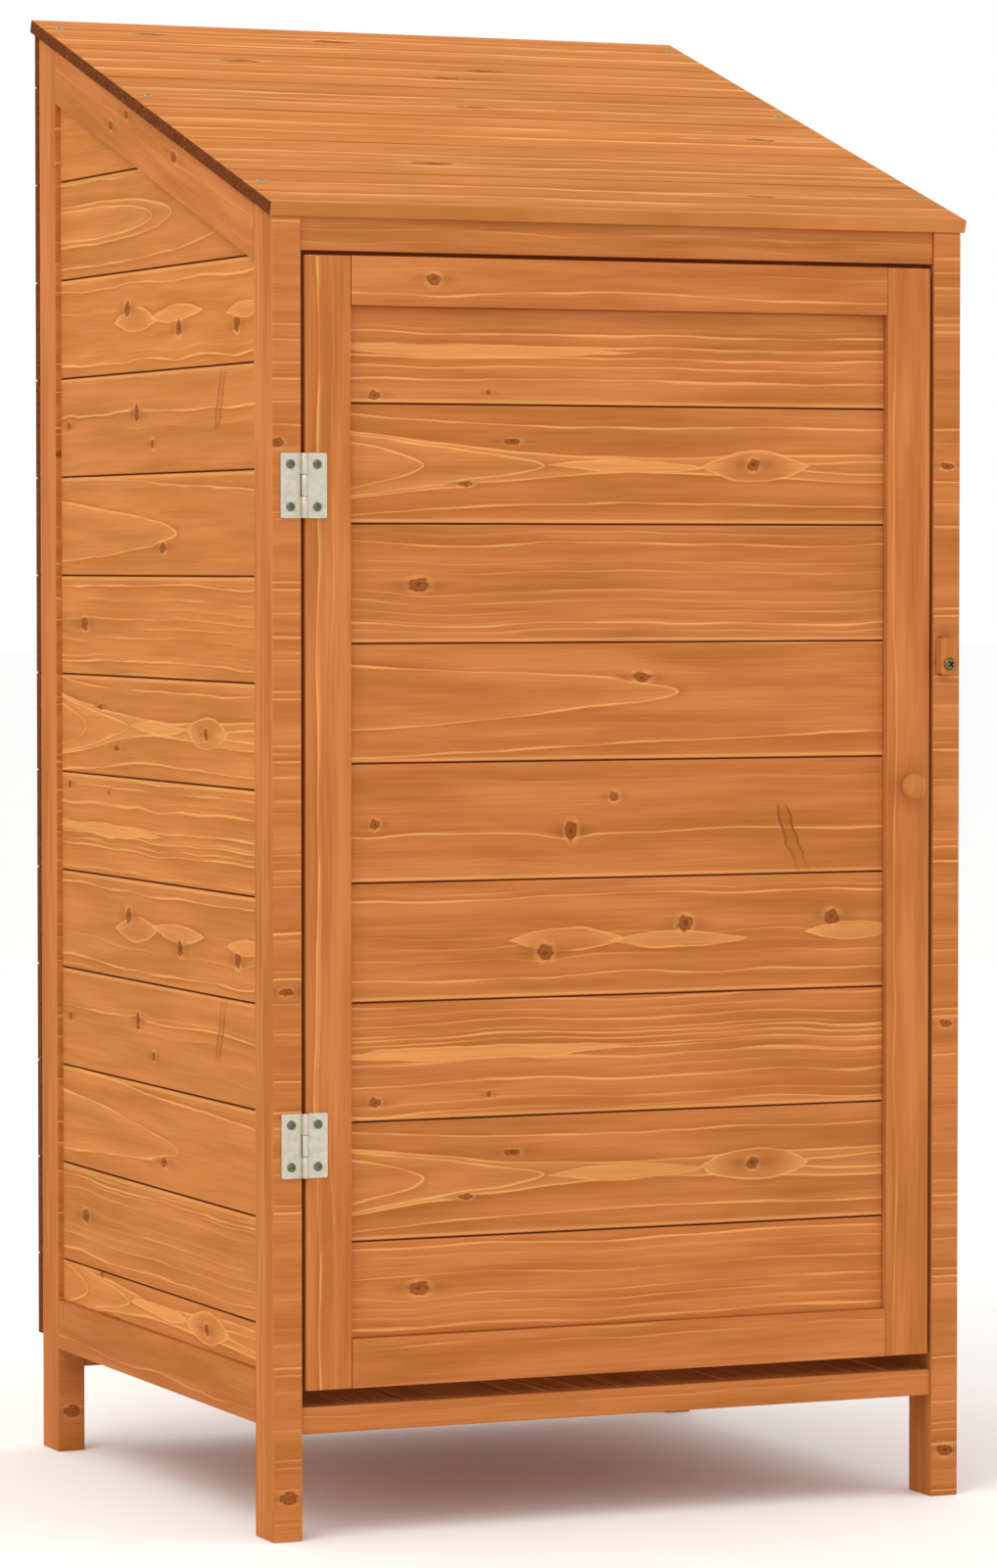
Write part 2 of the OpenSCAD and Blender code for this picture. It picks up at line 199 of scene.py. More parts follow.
class ShedStage(bpy.types.PropertyGroup):
    """Floor, light and camera."""

    floor: tone("Floor", "Colour of the pale floor", 0xFDFDFC)
    sky: FloatProperty(name="Sky", description="Strength of the even light all round", default=1.0)
    key: FloatProperty(
        name="Key", description="Power of the large lamp at the upper left", default=62, unit="POWER")
    key_colour: FloatVectorProperty(
        name="Key colour", description="Colour of the large lamp", default=(1, 0.94, 0.8), subtype="COLOR")
    fill: FloatProperty(name="Fill", description="Power of the lamp at the right", default=6, unit="POWER")
    inside: FloatProperty(
        name="Inside", description="Power of the small lamp inside, which keeps the gaps round the door brown",
        default=1.0, unit="POWER")
    place: FloatVectorProperty(
        name="Camera place", description="Where the camera stands", default=(-1.752138, -4.063942, 0.691874),
        subtype="TRANSLATION")
    yaw: FloatProperty(
        name="Camera yaw", description="Turn of the camera to the right", default=math.radians(23.427),
        subtype="ANGLE")
    pitch: FloatProperty(
        name="Camera pitch", description="Tilt of the camera", default=math.radians(-2.1667), subtype="ANGLE")
    lens: FloatProperty(name="Lens", description="Focal length in millimetres", default=133.552)


# What a node's mode sets.
MODES = {"Math": "operation", "VectorMath": "operation", "MapRange": "interpolation_type",
         "TexWhiteNoise": "noise_dimensions"}


def put(tree, kind, *feeds, sockets=None, **settings):
    """Adds a node, sets it up, and feeds its sockets, in order or by name, with nodes, sockets or plain values.
    A kind in capitals is a Math node's operation. For other nodes a second word is the mode."""
    kind, _, mode = ("Math " + kind if kind.isupper() else kind).partition(" ")
    made = tree.nodes.new(kind if kind.startswith("NodeGroup") else "ShaderNode" + kind)
    if mode:
        settings[MODES[kind]] = mode
    for name, value in settings.items():
        setattr(made, name, value)
    named = [(made.inputs[name], feed) for name, feed in (sockets or {}).items()]
    for socket, feed in (*zip(made.inputs, feeds), *named):
        feed = feed.outputs[0] if isinstance(feed, bpy.types.Node) else feed
        if isinstance(feed, bpy.types.NodeSocket):
            tree.links.new(feed, socket)
        elif feed is not None:
            socket.default_value = feed
    return made


def new_group(name, takes, gives):
    """A node group with these inputs and outputs, what adds a node to it, and the sockets of its inputs."""
    tree = bpy.data.node_groups.new(name, "ShaderNodeTree")
    for label in takes:
        kind = "NodeSocketVector" if label == "Place" else "NodeSocketFloat"
        tree.interface.new_socket(label, in_out="INPUT", socket_type=kind)
    for label in gives:
        tree.interface.new_socket(label, in_out="OUTPUT", socket_type="NodeSocketFloat")
    add = partial(put, tree)
    return tree, add, add("NodeGroupInput").outputs


def new_material(name):
    """An empty material, and what adds a node to it."""
    material = bpy.data.materials.new(name)
    material.use_nodes = True
    material.node_tree.nodes.clear()
    return material, partial(put, material.node_tree)


def ring_line_group():
    """Light and dark of one ring line by the distance across it in millimetres: a pale line with a crisp dark
    outer edge."""
    tree, add, given = new_group("ring_line", ("Distance",), ("Light", "Dark"))
    rise, fall, edge, fade = (
        add("MapRange SMOOTHSTEP", given["Distance"], start, stop, first, 1 - first)
        for start, stop, first in ((-2.1, -0.6, 0), (-0.4, 0.4, 1), (-0.1, 0.5, 0), (0.5, 4.5, 1)))
    add("NodeGroupOutput", add("MULTIPLY", rise, fall), add("MULTIPLY", edge, fade))
    return tree


def knot_group():
    """A knot: its core with a dark heart and bark, a broken pale rim, and how far it pushes the rings aside. It is
    drawn in shares of its width."""
    tree, add, given = new_group("knot", ("Along", "Across", "Place", "Stretch"), ("Core", "Rim", "Push"))
    left, level, size = add("SeparateXYZ", given["Place"]).outputs
    along = add("DIVIDE", add("SUBTRACT", given["Along"], left), size)
    along = add("DIVIDE", along, given["Stretch"])
    across = add("DIVIDE", add("SUBTRACT", given["Across"], level), size)
    spot = add("CombineXYZ", along, across)
    rough = add("VectorMath MULTIPLY", add("CombineXYZ", along, across, left), (1, 1, 0.37))
    rough = add("TexNoise", rough, None, 1.9, 2)
    reach = add("VectorMath LENGTH", spot).outputs["Value"]
    reach = add("MULTIPLY_ADD", add("SUBTRACT", rough, 0.5), 0.7, reach)
    fill = add("MapRange SMOOTHSTEP", reach, 0.56, 0.42, 0, 1)
    ring = add("ABSOLUTE", add("SUBTRACT", reach, 0.27))
    core = add("MULTIPLY", fill, add("MapRange", ring, 0.06, 0.2, 0.65, 1))
    trail = add("VectorMath LENGTH", add("VectorMath MULTIPLY", spot, (0.4, 1.5, 0))).outputs["Value"]
    core = add("MAXIMUM", core, add("MapRange SMOOTHSTEP", trail, 0.2, 1.0, 0.35, 0))

    rim = add("MapRange SMOOTHSTEP", reach, 0.5, 0.62, 0, 1)
    rim = add("MULTIPLY", rim, add("MapRange SMOOTHSTEP", reach, 0.66, 1.0, 1, 0))
    rim = add("MULTIPLY", rim, add("MapRange", rough, 0.4, 0.6, 0.2, 1))

    side = add("SQRT", add("MULTIPLY_ADD", across, across, 0.25))
    side = add("DIVIDE", across, side)
    ahead = add("MULTIPLY", along, 0.5)
    far = add("MULTIPLY", add("ABSOLUTE", across), 0.7)
    far = add("MULTIPLY_ADD", ahead, ahead, far)
    near = add("EXPONENT", add("MULTIPLY", far, -1))
    push = add("MULTIPLY", add("MULTIPLY", side, near), size)
    add("NodeGroupOutput", core, rim, add("MULTIPLY", push, 0.5))
    return tree


def spike_group():
    """A branch cut lengthwise: a brown streak that slants down to the board's lower edge, darker at its sides."""
    tree, add, given = new_group("spike", ("Along", "Across", "Place"), ("Core",))
    left, top, width = add("SeparateXYZ", given["Place"]).outputs
    down = add("SUBTRACT", top, given["Across"])
    middle = add("MULTIPLY_ADD", down, 0.34, left)
    off = add("ABSOLUTE", add("SUBTRACT", given["Along"], middle))
    inset = add("SUBTRACT", off, add("MULTIPLY", add("MapRange", down, 0, 10, 0.3, 0.5), width))
    core = add("MapRange SMOOTHSTEP", inset, 0.5, -0.5, 0, 1)
    core = add("MULTIPLY", core, add("MapRange", inset, -2.5, -0.4, 0.18, 0.8))
    below = add("MULTIPLY", add("MapRange", down, 0, 4, 0, 1), add("MapRange", down, 30, 50, 1, 0.25))
    add("NodeGroupOutput", add("MULTIPLY", core, below))
    return tree


def eye_group():
    """A lens of rings that closes round a knot: distance to its outline, and the pale wood inside, which fills a
    flat lens and only the tips of a tall one."""
    tree, add, given = new_group("eye", ("Along", "Across", "Place", "Tall"), ("Distance", "Inside", "Cover"))
    middle, level, half = add("SeparateXYZ", given["Place"]).outputs
    along = add("DIVIDE", add("SUBTRACT", given["Along"], middle), half)
    across = add("ABSOLUTE", add("SUBTRACT", given["Across"], level))
    square = add("MULTIPLY", along, along)
    height = add("MULTIPLY", add("SUBTRACT", 1, square), given["Tall"])
    distance = add("SUBTRACT", across, height)
    distance = add("ADD", distance, add("MapRange", square, 1, 1.2, 0, 60))
    fill = add("MapRange SMOOTHSTEP", distance, 0, -2.5, 0, 1)
    heart = add("MapRange", given["Tall"], 5, 9, 0.9, 0.1)
    inside = add("MULTIPLY", fill, add("MapRange", square, 0.1, 0.8, heart, 1))
    add("NodeGroupOutput", distance, inside, fill)
    return tree


def stained_fir(timber):
    """Planed fir under a brown-orange stain. The stain sinks into the soft wood and leaves each year's
    hard ring as a fine pale line with a dark outer edge, it gathers in knots and in sawn ends, and the
    planed face has a dull sheen with a faint fibre. Faces inside seams are darkened as painted shade, and boards
    have a painted highlight along one long edge."""
    material, add = new_material("stained_fir")
    line, knot, eye, spike = ring_line_group(), knot_group(), eye_group(), spike_group()
    read = {name: add("Attribute", attribute_name=name).outputs["Vector"] for name in ("grain", *FACE_LAYERS)}
    part = {name: add("SeparateXYZ", read[name]).outputs for name in ("grain", *NUMBER_LAYERS)}
    along, across, depth = part["grain"]
    seed, tint, half = part["board"]
    end, broad, _ = part["cut"]
    last_bold, core_glow, pale = part["more"]

    # Each noise is laid out by the size of its pattern along and across in millimetres, and the board's seed
    # times a number sets it apart. Knots push the rings aside, and a small wobble keeps them from running true.
    spot = add("CombineXYZ", along, across, seed)
    knots = [add("Group", along, across, read[name], stretch, node_tree=knot)
             for name, stretch in zip(KNOT_LAYERS, part["knot_long"])]
    wobble = add("TexNoise", add("VectorMath MULTIPLY", spot, (1 / 65, 1 / 14, 17)), None, 1, 2)
    wobble = add("SUBTRACT", wobble, 0.5)
    waved = level = add("MULTIPLY_ADD", wobble, RING_WOBBLE, across)
    for made in knots:
        level = add("SUBTRACT", level, made.outputs["Push"])

    # Squared distance from the heart of the rings, and how steeply it grows at this point.
    start, drift, sways = part["heart"]
    rise, bend, curl = part["climb"]
    sway = add("VectorMath MULTIPLY", add("CombineXYZ", along, seed), (1 / 140, 31, 0))
    sway = add("SUBTRACT", add("TexNoise", sway, None, 1, 1), 0.5)
    sway = add("MULTIPLY", sway, add("MULTIPLY", sways, SWAY))
    heart = add("MULTIPLY_ADD", along, drift, start)
    away = add("SUBTRACT", add("SUBTRACT", level, heart), sway)
    climb = add("MULTIPLY_ADD", along, curl, bend)
    climb = add("MULTIPLY_ADD", along, climb, rise)
    climb = add("MULTIPLY_ADD", along, climb, add("MULTIPLY", depth, DEPTH_PULL))
    square = add("MULTIPLY_ADD", away, away, climb)
    slope = add("MULTIPLY_ADD", along, add("MULTIPLY", curl, 3), add("MULTIPLY", bend, 2))
    slope = add("MULTIPLY_ADD", along, slope, rise)
    steep = add("CombineXYZ", add("MULTIPLY", away, 2), slope, LEAST_SLOPE)
    steep = add("VectorMath LENGTH", steep).outputs["Value"]

    # The outlines of the eyes, then bold rings at set distances, which pass under the eyes, with a pale glow
    # inside the first of them. Each line is kept as the distance to it and its strength.
    lines, gaps = [], []
    fade = add("TexNoise", add("VectorMath MULTIPLY", spot, (1 / 70, 1 / 30, 5)), None, 1, 1)
    width = add("MULTIPLY", add("MapRange", fade, 0.3, 0.7, 0.5, 1.3), broad)
    fade = add("MapRange", fade, 0.3, 0.6, 0.45, 1)
    eye_across = add("MULTIPLY_ADD", wobble, EYE_WOBBLE, across)
    glow = cover = 0
    for name, tall in zip(EYE_LAYERS, part["eye_tall"]):
        made = add("Group", along, eye_across, read[name], tall, node_tree=eye)
        lines.append((made.outputs["Distance"], fade))
        glow = add("MAXIMUM", glow, made.outputs["Inside"])
        cover = add("MAXIMUM", cover, made.outputs["Cover"])
    open_wood = add("SUBTRACT", 1, cover)
    fade = add("MULTIPLY", fade, open_wood)
    for ring in (*part["bold"], last_bold):
        signed = add("MULTIPLY", ring, add("ABSOLUTE", ring))
        gaps.append(add("DIVIDE", add("SUBTRACT", square, signed), steep))
        lines.append((add("DIVIDE", gaps[-1], width), fade))
    inner = add("MapRange", gaps[0], 0.3, -1.0, 0, 1)
    for amount in (add("MapRange", gaps[0], -16, -1, 0.25, 1), core_glow, open_wood):
        inner = add("MULTIPLY", inner, amount)
    glow = add("MAXIMUM", glow, inner)

    # The other rings, of which only a share shows, each with a strength of its own that comes and goes.
    spacing, clear, share = part["rings"]
    radius = add("SQRT", add("ADD", add("MAXIMUM", square, 0), HEART_ROUND))
    turn = add("MULTIPLY_ADD", seed, 3.7, add("DIVIDE", radius, spacing))
    count = add("ROUND", turn)
    gap = add("MULTIPLY", add("SUBTRACT", turn, count), spacing)
    own = add("TexWhiteNoise 1D", None, add("MULTIPLY_ADD", seed, 9, count))
    own = add("MapRange", own, share, add("MULTIPLY", share, 0.5), 0, 1)
    fine = add("VectorMath MULTIPLY", add("CombineXYZ", along, count, seed), (1 / 90, 3.7, 1))
    fine = add("MapRange", add("TexNoise", fine, None, 1, 1), 0.35, 0.62, 0.15, 1)
    for amount in (own, clear, open_wood):
        fine = add("MULTIPLY", fine, amount)
    lines.append((add("DIVIDE", gap, width), fine))

    light = dark = rim = 0
    for distance, strength in lines:
        made = add("Group", distance, node_tree=line).outputs
        light = add("MAXIMUM", light, add("MULTIPLY", made["Light"], strength))
        dark = add("MAXIMUM", dark, add("MULTIPLY", made["Dark"], strength))
    core = add("MULTIPLY_ADD", wobble, SPIKE_WOBBLE, along)
    core = add("Group", core, across, read["spike"], node_tree=spike)
    for made in knots:
        core = add("MAXIMUM", core, made.outputs["Core"])
        rim = add("MAXIMUM", rim, made.outputs["Rim"])
    light = add("MULTIPLY", light, add("MapRange", core, 0, 0.4, 1, 0))

    # Colour: uneven stain, ring lines, knots, a painted highlight along one long edge of each board, then sawn
    # ends and the painted shade inside seams. The fibre is about 1.6 mm wide and the pores of a sawn end 2.5 mm,
    # several times the real width, so that they show at all.
    cloud = add("TexNoise", add("VectorMath MULTIPLY", spot, (1 / 160, 1 / 16, 11)), None, 1, 3)
    cloud = add("MapRange", cloud, 0.35, 0.65, 0, 1)
    fibre = add("VectorMath MULTIPLY", add("CombineXYZ", along, waved, seed), (1 / 90, 1 / 1.6, 7))
    fibre = add("TexNoise", fibre, None, 1, 2)
    pores = add("VectorMath MULTIPLY", add("CombineXYZ", across, depth, seed), (1 / 2.5, 1 / 2.5, 13))
    pores = add("MapRange", add("TexNoise", pores, None, 1, 2), 0.3, 0.7, 0.5, 1.6)
    # The lip is a painted highlight in a band from about 0.2 to 3.6 mm above the lower edge of a board's figure.
    above = add("ADD", across, half)
    lip = add("MULTIPLY", add("MapRange", above, 0.2, 1.0, 0, 0.4), add("MapRange", above, 1.8, 3.6, 1, 0))
    colour = add("MixRGB", cloud, (*timber.stain, 1), (*timber.stain_deep, 1))
    for amount, strength, shade in (
            (pale, 1, timber.pale), (dark, 0.38, timber.early_wood), (glow, 0.6, timber.glow),
            (light, 0.62, timber.late_wood), (lip, 1, timber.late_wood), (rim, 0.35, timber.late_wood),
            (core, 0.8, timber.knot)):
        colour = add("MixRGB", add("MULTIPLY", amount, strength), colour, (*shade, 1))
    shade = add("MapRange", fibre, 0.3, 0.7, 0.93, 1.07)
    # A board's tint shifts its tone at random. On the lintel it is set low as painted shade.
    shade = add("MULTIPLY", shade, add("MapRange", tint, -1, 2, 0.88, 1.12))
    colour = add("VectorMath MULTIPLY", colour, shade)
    # Sawn ends take the end grain's colour, and faces inside a seam take a share of it as painted shade.
    colour = add("MixRGB", end, colour, add("VectorMath MULTIPLY", timber.end_grain, pores))

    add("OutputMaterial", add("BsdfPrincipled", sockets={
        "Base Color": colour, "Roughness": add("MapRange", fibre, 0.3, 0.7, 0.5, 0.62), "IOR": 1.5,
        "Specular IOR Level": 0.01, "Normal": add("Bump", 0.1, 0.0004, None, fibre)}))
    return material


def plated_steel(name, colour, roughness):
    """Pressed steel with a dull zinc plating: a soft, broken reflection with a faint bloom of cloudy spots, 4 mm
    wide, and a grit of 0.6 mm."""
    material, add = new_material(name)
    spot = add("TexCoord").outputs["Object"]
    bloom = add("TexNoise", spot, None, 1 / 0.004, 4)
    grit = add("TexNoise", spot, None, 1 / 0.0006, 2)
    dull = (*(c * 0.72 for c in colour), 1)
    dull = add("MixRGB", add("MapRange", bloom, 0.3, 0.7, 0, 0.35), (*colour, 1), dull)
    rough = add("MapRange", bloom, 0.3, 0.7, roughness - 0.08, roughness + 0.08)
    add("OutputMaterial", add("BsdfPrincipled", sockets={
        "Base Color": dull, "Roughness": rough, "Metallic": 1.0, "Normal": add("Bump", 0.15, 0.0001, None, grit)}))
    return material


def matt_paint(name, colour):
    """Floor in a matt pale paint: no sheen, and a very faint unevenness in patches of 0.4 m."""
    material, add = new_material(name)
    grey = (0.5, 0.5, 0.5, 1)
    patch = add("TexNoise", add("TexCoord").outputs["Object"], None, 1 / 0.4, 2)
    shade = add("MixRGB", add("MapRange", patch, 0.3, 0.7, 0, 0.03), (*colour, 1), grey)
    add("OutputMaterial", add("BsdfPrincipled", sockets={"Base Color": shade, "Roughness": 0.9}))
    return material


# Colour and roughness of each plating.
PLATINGS = {"zinc_plate": ("zinc", 0.6), "green_zinc": ("screw", 0.4), "yellow_zinc": ("roof_screw", 0.5),
            "brown_zinc": ("brown_screw", 0.4)}


def finish(name):
    """The material of that name, made once."""
    scene = bpy.context.scene
    if name in bpy.data.materials:
        return bpy.data.materials[name]
    if name == "stained_fir":
        return stained_fir(scene.shed_timber)
    colour, roughness = PLATINGS[name]
    return plated_steel(name, getattr(scene.shed_fittings, colour), roughness)


def make_piece(bm, name, body, slot, finish_name, *nodes):
    """Turns a bmesh into a piece that rides on a body and stands for those CAD nodes."""
    mesh = bpy.data.meshes.new(name)
    bm.to_mesh(mesh)
    bm.free()
    mesh.materials.append(finish(finish_name))
    piece = bpy.data.objects.new(name, mesh)
    bpy.context.scene.collection.objects.link(piece)
    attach(piece, body)
    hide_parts(*nodes)


def new_timber():
    """An empty bmesh with the layers that carry the grain."""
    bm = bmesh.new()
    bm.loops.layers.float_vector.new("grain")
    for name in FACE_LAYERS:
        bm.faces.layers.float_vector.new(name)
    return bm


def lay_figure(bm, face, figure, seed, run, tint=0.5, half=NO_EDGE, end=0.0, pale=0.0):
    """Writes one face's growth figure, and where its corners lie on the board in millimetres. The run is the
    board's left end, and its directions along, across and out. half is half the board's width, where its lower
    edge shows a painted highlight, end is how much of the sawn end's colour the face has, which on a face inside
    a seam stands for painted shade, and pale how much of the pale wood's."""
    bold = (*figure.get("bold", ()), *[NO_RING] * 4)
    knots = (*figure.get("knots", ()), *[NOWHERE] * 3)[:3]
    eyes = (*figure.get("eyes", ()), *[NOWHERE] * 3)[:3]
    values = dict(
        heart=figure["heart"], climb=figure.get("climb", (0, 0, 0)), bold=bold[:3], rings=figure["rings"],
        more=(bold[3], figure.get("glow", 0), pale), board=(seed, tint, half),
        cut=(end, figure.get("broad", 1), 0), spike=figure.get("spike", NOWHERE[:3]),
        knot_long=[knot[3] for knot in knots], eye_tall=[eye[3] for eye in eyes])
    for name, place in zip((*KNOT_LAYERS, *EYE_LAYERS), (*knots, *eyes)):
        values[name] = place[:3]
    for name, value in values.items():
        face[bm.faces.layers.float_vector[name]] = Vector(value)
    origin, along, across, out = run
    grain = bm.loops.layers.float_vector["grain"]
    for loop in face.loops:
        spot = (loop.vert.co - origin) * MM
        loop[grain] = Vector((spot.dot(along), spot.dot(across), -spot.dot(out)))


def parts(elements, kind):
    """The verts or edges that belong to those elements, each once."""
    return list(dict.fromkeys(part for element in elements for part in getattr(element, kind)))


def only(kind, geometry):
    """The members of that kind."""
    return [part for part in geometry if isinstance(part, kind)]


def since(bm, before):
    """The faces of a solid that weren't there before, with their normals turned outward."""
    made = [f for f in bm.faces if f not in before]
    for face in made:
        face.normal_update()
    bmesh.ops.recalc_face_normals(bm, faces=made)
    return made


def prism(bm, outline, reach):
    """A solid with that outline, drawn out by reach. Returns its faces."""
    before = set(bm.faces)
    first = bm.faces.new([bm.verts.new(point) for point in outline])
    grown = bmesh.ops.extrude_face_region(bm, geom=[first])["geom"]
    bmesh.ops.translate(bm, vec=reach, verts=only(bmesh.types.BMVert, grown))
    return since(bm, before)


def cut_off(bm, faces, point, normal):
    """Cuts a solid at a plane, drops what lies on the normal's side, and closes the cut."""
    before = set(bm.faces) - set(faces)
    cut = bmesh.ops.bisect_plane(
        bm, geom=[*parts(faces, "verts"), *parts(faces, "edges"), *faces], dist=1e-7, plane_co=point,
        plane_no=normal, clear_outer=True)
    rim = only(bmesh.types.BMEdge, cut["geom_cut"])
    if rim:
        bmesh.ops.edgeloop_fill(bm, edges=rim)
    return since(bm, before)


def ease(bm, faces, edges, width):
    """Rounds edges of a solid a little, as sandpaper does. Returns the solid's faces."""
    before = set(bm.faces) - set(faces)
    bmesh.ops.bevel(bm, geom=edges, offset=width, segments=2, profile=0.5, affect="EDGES", material=-1)
    return since(bm, before)


def block(bm, low, high):
    """A block between two corners. Returns its faces."""
    before = set(bm.faces)
    size = Vector(high) - Vector(low)
    bmesh.ops.create_cube(bm, size=1, matrix=Matrix.LocRotScale(Vector(low) + size / 2, None, size))
    return since(bm, before)


def outer_edges(faces):
    """The edges of a solid that stick out."""
    return [e for e in parts(faces, "edges") if e.is_convex and e.calc_face_angle(0) > SHARP]


def through_edges(faces):
    """Those of a plate's outer edges that run from its front to its back."""
    return [e for e in outer_edges(faces) if abs((e.verts[0].co - e.verts[1].co).normalized().y) > SQUARE]


def lay_bar(bm, faces, along, seed, figure="bar", tint=0.5):
    """Gives a bar grain that runs along it on each of its sides, and end grain at its ends."""
    corners = [v.co for v in parts(faces, "verts")]
    low, high = (Vector([pick(c[i] for c in corners) for i in range(3)]) for pick in (min, max))
    start = (low + high) / 2 - along * (high - low).dot(along) / 2
    for face in faces:
        end = abs(face.normal.dot(along)) > SQUARE
        side = max((X, Y, Z), key=lambda axis: abs(face.normal.dot(axis)))
        across = along.orthogonal() if end else along.cross(side)
        run = (start, along, across.normalized(), face.normal)
        lay_figure(bm, face, FIGURES[figure], seed + SIDE_SEED * abs(side.x), run, tint, end=BAR_END * end)


def ease_all(bm, faces):
    """Eases every outer edge of a bar. Returns its faces."""
    return ease(bm, faces, outer_edges(faces), bpy.context.scene.shed_timber.arris)


def roof_plane():
    """A point on the underside of the roof, its normal and its direction to the rear, from the tops of the posts
    under it."""
    front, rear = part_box("front_left_post")[1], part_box("rear_left_post")[1]
    run = Vector((0, rear.y - front.y, rear.z - front.z)).normalized()
    return Vector((0, front.y, front.z)), X.cross(run), run


def add_post(name, node, seed, front):
    """One post, cut at the top to the slope of the roof. The figure of its front runs across it."""
    low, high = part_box(node)
    point, normal, _ = roof_plane()
    bm = new_timber()
    faces = ease_all(bm, cut_off(bm, block(bm, low, high), point, normal))
    lay_bar(bm, faces, Z, seed)
    for face in faces:
        if face.normal.y < -SQUARE:
            lay_figure(bm, face, FIGURES[front], seed, (Vector((low.x, low.y, 0)), X, Z, -Y))
    make_piece(bm, name, "shed", "frame_timber", "stained_fir", node)


def add_bar(name, node, along, seed, body="shed", cuts=(), figure="bar", tint=0.5):
    """One straight bar in a CAD node's place, cut at the given planes."""
    bm = new_timber()
    faces = block(bm, *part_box(node))
    for point, normal in cuts:
        faces = cut_off(bm, faces, point, normal)
    lay_bar(bm, ease_all(bm, faces), along, seed, figure, tint)
    make_piece(bm, name, body, "frame_timber", "stained_fir", node)


def spans(low, high, seams):
    """Lower and upper edge of each board between seams."""
    half = bpy.context.scene.shed_timber.seam / 2
    inner = [s for s in seams if low + LEAST_BOARD < s < high - LEAST_BOARD]
    return list(zip([low] + [s + half for s in inner], [s - half for s in inner] + [high]))


def add_board(bm, run, length, low, high, thick, tongue, groove, cut=None):
    """One tongued and grooved board. The run starts on its face, and low and high are its edges across."""
    timber = bpy.context.scene.shed_timber
    origin, along, across, out = run
    half, middle = timber.tongue_thick / 2, thick / 2
    outline = [(low, 0), (high, 0)]
    if tongue:
        tip = high + timber.tongue
        outline += [(high, middle - half), (tip, middle - half), (tip, middle + half), (high, middle + half)]
    outline += [(high, thick), (low, thick)]
    if groove:
        half += TONGUE_PLAY
        root = low + timber.tongue - timber.seam + TONGUE_PLAY
        outline += [(low, middle + half), (root, middle + half), (root, middle - half), (low, middle - half)]
    faces = prism(bm, [origin + across * a - out * d for a, d in outline], along * length)
    if cut:
        faces = cut_off(bm, faces, *cut)

    def on_face(vert):
        depth = (origin - vert.co).dot(out)
        return min(abs(depth), abs(depth - thick)) < 1e-5

    edges = [e for e in outer_edges(faces) if all(on_face(v) for v in e.verts)]
    return ease(bm, faces, edges, timber.arris)


def add_boarding(name, node, rows, run, length, thick, figures, seed, body="shed", cut=None, flip=1, pale=0.0,
                 dark_edge=False):
    """A field of boards side by side from the lowest up, each with its own figure, upside down where flip is -1.
    Faces inside a seam, where edges meet a neighbour, are darkened towards the end grain's colour as painted
    shade, and sawn ends are dark with stain. The eased part of an edge gets that painted shade too where
    dark_edge is set. Otherwise each board above the lowest has a painted highlight along the lower edge of its
    figure, which is its upper edge where flip is -1."""
    bm = new_timber()
    origin, along, across, out = run
    last = len(rows) - 1
    # How deep a face must lie to count as inside a seam, and how much of the end grain's colour it takes there as
    # painted shade.
    least, stained = (0.1 * EASED, 0.25) if dark_edge else (EASED, 0.55)
    for i, (low, high) in enumerate(rows):
        faces = add_board(bm, run, length, low, high, thick, i < last, i > 0, cut)
        grain = (origin + across * (low + high) / 2, along, across * flip, out)
        tint = (math.sin(12.9898 * (i + seed)) * 43758.5453) % 1  # scattered from 0 to 1
        # The lowest board gets no painted highlight, and neither does a board whose eased edges take painted
        # shade.
        half = NO_EDGE if dark_edge or not i else (high - low) / 2 * MM
        for face in faces:
            way, depth = face.normal.dot(across), (origin - face.calc_center_median()).dot(out)
            free = (way > FREE and i == last) or (way < -FREE and i == 0)
            # A face inside a seam gets painted shade, and a sawn end gets the end grain's own colour.
            joint = least < depth < thick - EASED and not free
            end = BOARD_END if abs(face.normal.dot(along)) > SQUARE else stained * joint
            lay_figure(bm, face, figures[i], seed + BOARD_SEED * i, grain, tint, half, end, pale)
    make_piece(bm, name, body, "board_timber", "stained_fir", node)


def wall_seams():
    """Heights of the seams between the wall boards, level all round."""
    timber = bpy.context.scene.shed_timber
    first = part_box("left_wall_boards")[0].z + timber.wall_first
    return [first + timber.wall_pitch * i for i in range(WALL_ROWS)]


def in_turn(names, count):
    """Figures of that many boards from the lowest up, for names that run down from the top and start again."""
    return [FIGURES[names[i % len(names)]] for i in reversed(range(count))]


def even_rows(length, pitch):
    """Equal boards that fill a length, each close to the pitch."""
    count = max(1, round(length / pitch))
    return spans(0, length, [length * i / count for i in range(1, count)])


def round_solid(bm, profile, place, steps):
    """A turned solid about its own Z, put in place. The profile runs from the axis at the top to the axis
    below."""
    before = set(bm.faces)
    verts = [bm.verts.new((radius, 0, height)) for radius, height in profile]
    edges = [bm.edges.new(pair) for pair in zip(verts, verts[1:])]
    bmesh.ops.spin(
        bm, geom=[*verts, *edges], cent=(0, 0, 0), axis=(0, 0, 1), angle=math.tau, steps=steps, use_merge=True)
    bmesh.ops.remove_doubles(bm, verts=parts(since(bm, before), "verts"), dist=1e-6)
    bmesh.ops.transform(bm, matrix=place, verts=parts(since(bm, before), "verts"))
    made = since(bm, before)
    for face in made:
        face.smooth = True
    return made


def barrel(bm, radius, tall, rim, foot, steps):
    """An upright round bar on its foot, with both rims cut back."""
    flat = radius - rim
    profile = [(0, tall), (flat, tall), (radius, tall - rim), (radius, rim), (flat, 0), (0, 0)]
    round_solid(bm, profile, Matrix.Translation(foot), steps)


def facing(point, out, turn=0.0):
    """Matrix that puts a fitting's Z along out at a point, turned about it."""
    tilt = out.to_track_quat("Z", "Y").to_matrix().to_4x4()
    return Matrix.Translation(point) @ tilt @ Matrix.Rotation(turn, 4, "Z")


